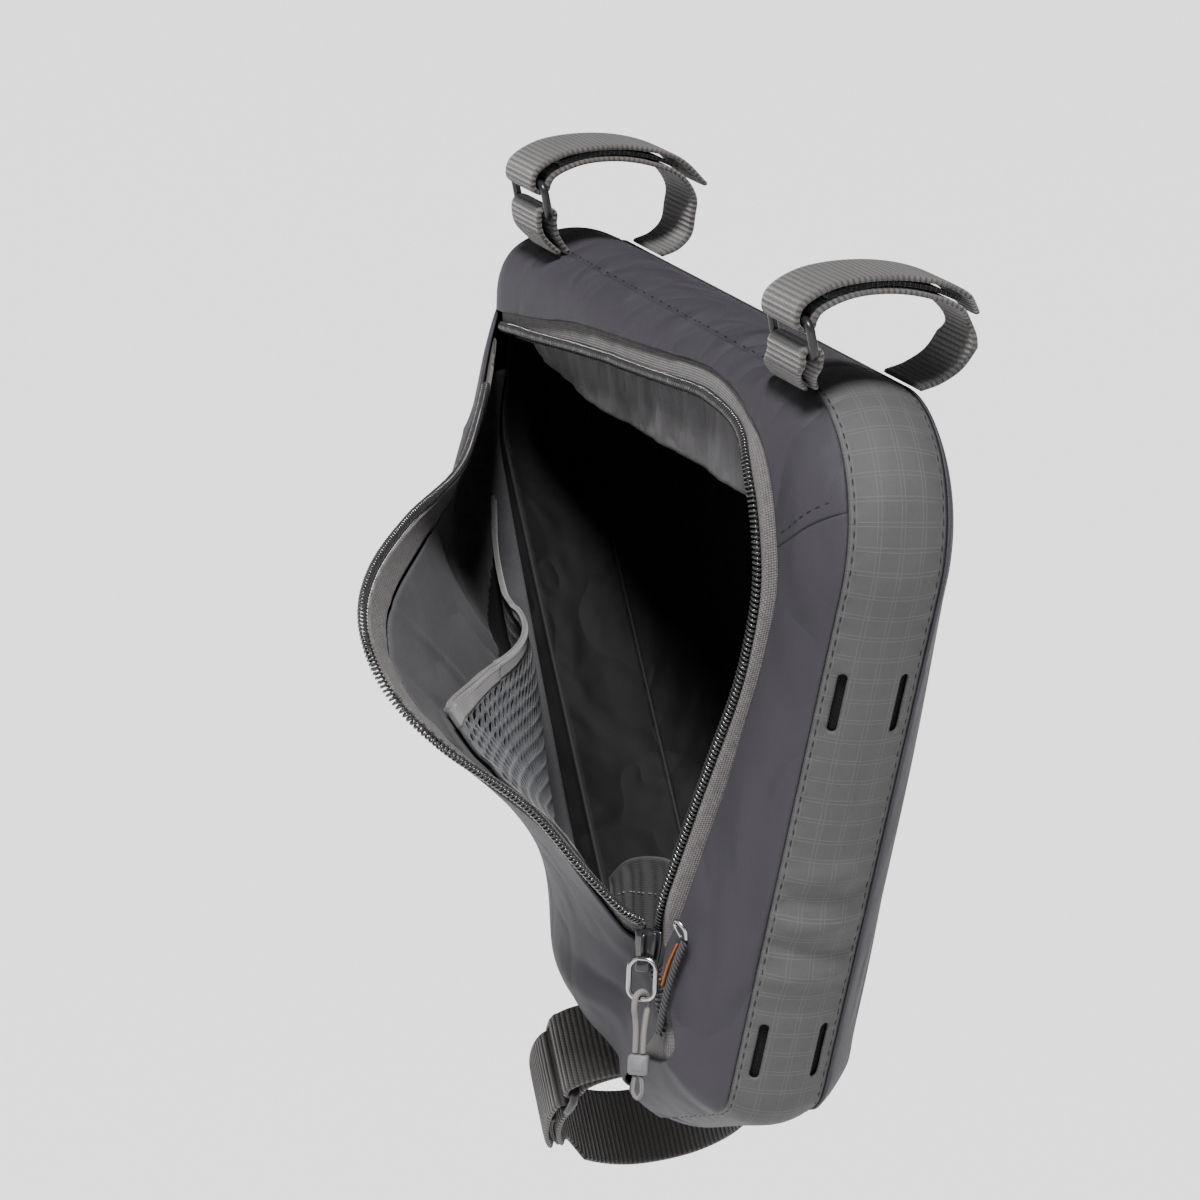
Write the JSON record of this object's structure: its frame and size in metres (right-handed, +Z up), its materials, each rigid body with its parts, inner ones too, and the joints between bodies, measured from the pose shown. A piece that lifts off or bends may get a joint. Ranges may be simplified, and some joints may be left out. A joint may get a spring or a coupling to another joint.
{
  "type": "bicycle frame bag",
  "caption": "Small wedge-shaped frame bag with an open side zip, pale lining, net pocket and hook-and-loop straps with wire rings.",
  "frame": {"origin": "where the bag hangs: the underside of the top tube, in the centre plane, midway between the two top straps", "axes": "+X to the rear along the top tube, +Y to the right of the bicycle, +Z up, square to the tube"},
  "size_m": [0.2935, 0.1558, 0.307],
  "materials": {
    "shell": "matt coated nylon, dark purplish charcoal",
    "ripstop": "ripstop nylon, mid-dark grey with a fine square grid",
    "lining": "pale grey plain weave",
    "dark": "dark knit and hook patches",
    "tape": "taupe-grey ribbed tape and nylon coil",
    "webbing": "taupe-grey ribbed webbing",
    "net": "dark blue-grey knotless net",
    "plastic": "glossy black",
    "steel": "bright wire",
    "pale_cord": "pale grey braided cord",
    "orange": "orange tape edge"
  },
  "bodies": {
    "root": {"gusset_rear": "ripstop", "gusset_front": "shell", "gusset_top": "shell", "slit_backing_upper": "dark", "slit_backing_lower": "dark", "right_panel": "shell", "left_border_top": "shell", "left_border_rear": "shell", "zip_tape_fixed": "tape", "zip_coil_fixed": "tape", "left_flap": "shell", "flap_lining": "lining", "zip_tape_flap": "tape", "zip_coil_flap": "tape", "zip_end": "tape", "facing_top": "lining", "facing_bottom": "lining", "mesh_pocket": "net", "pocket_binding": "tape", "zip_slider": "plastic", "puller_bail": "steel", "puller_cord": "pale_cord", "puller_tag": "plastic", "puller_loop": "pale_cord", "hold_cord": "dark", "hold_wire": "steel", "edge_tab": "orange", "front_strap": "webbing", "front_hook": "dark", "front_loop": "webbing", "front_ring": "plastic", "rear_strap": "webbing", "rear_hook": "dark", "rear_loop": "webbing", "rear_ring": "plastic", "down_strap": "webbing", "down_hook": "dark", "down_loop": "webbing", "down_ring": "plastic"}
  },
  "joints": []
}
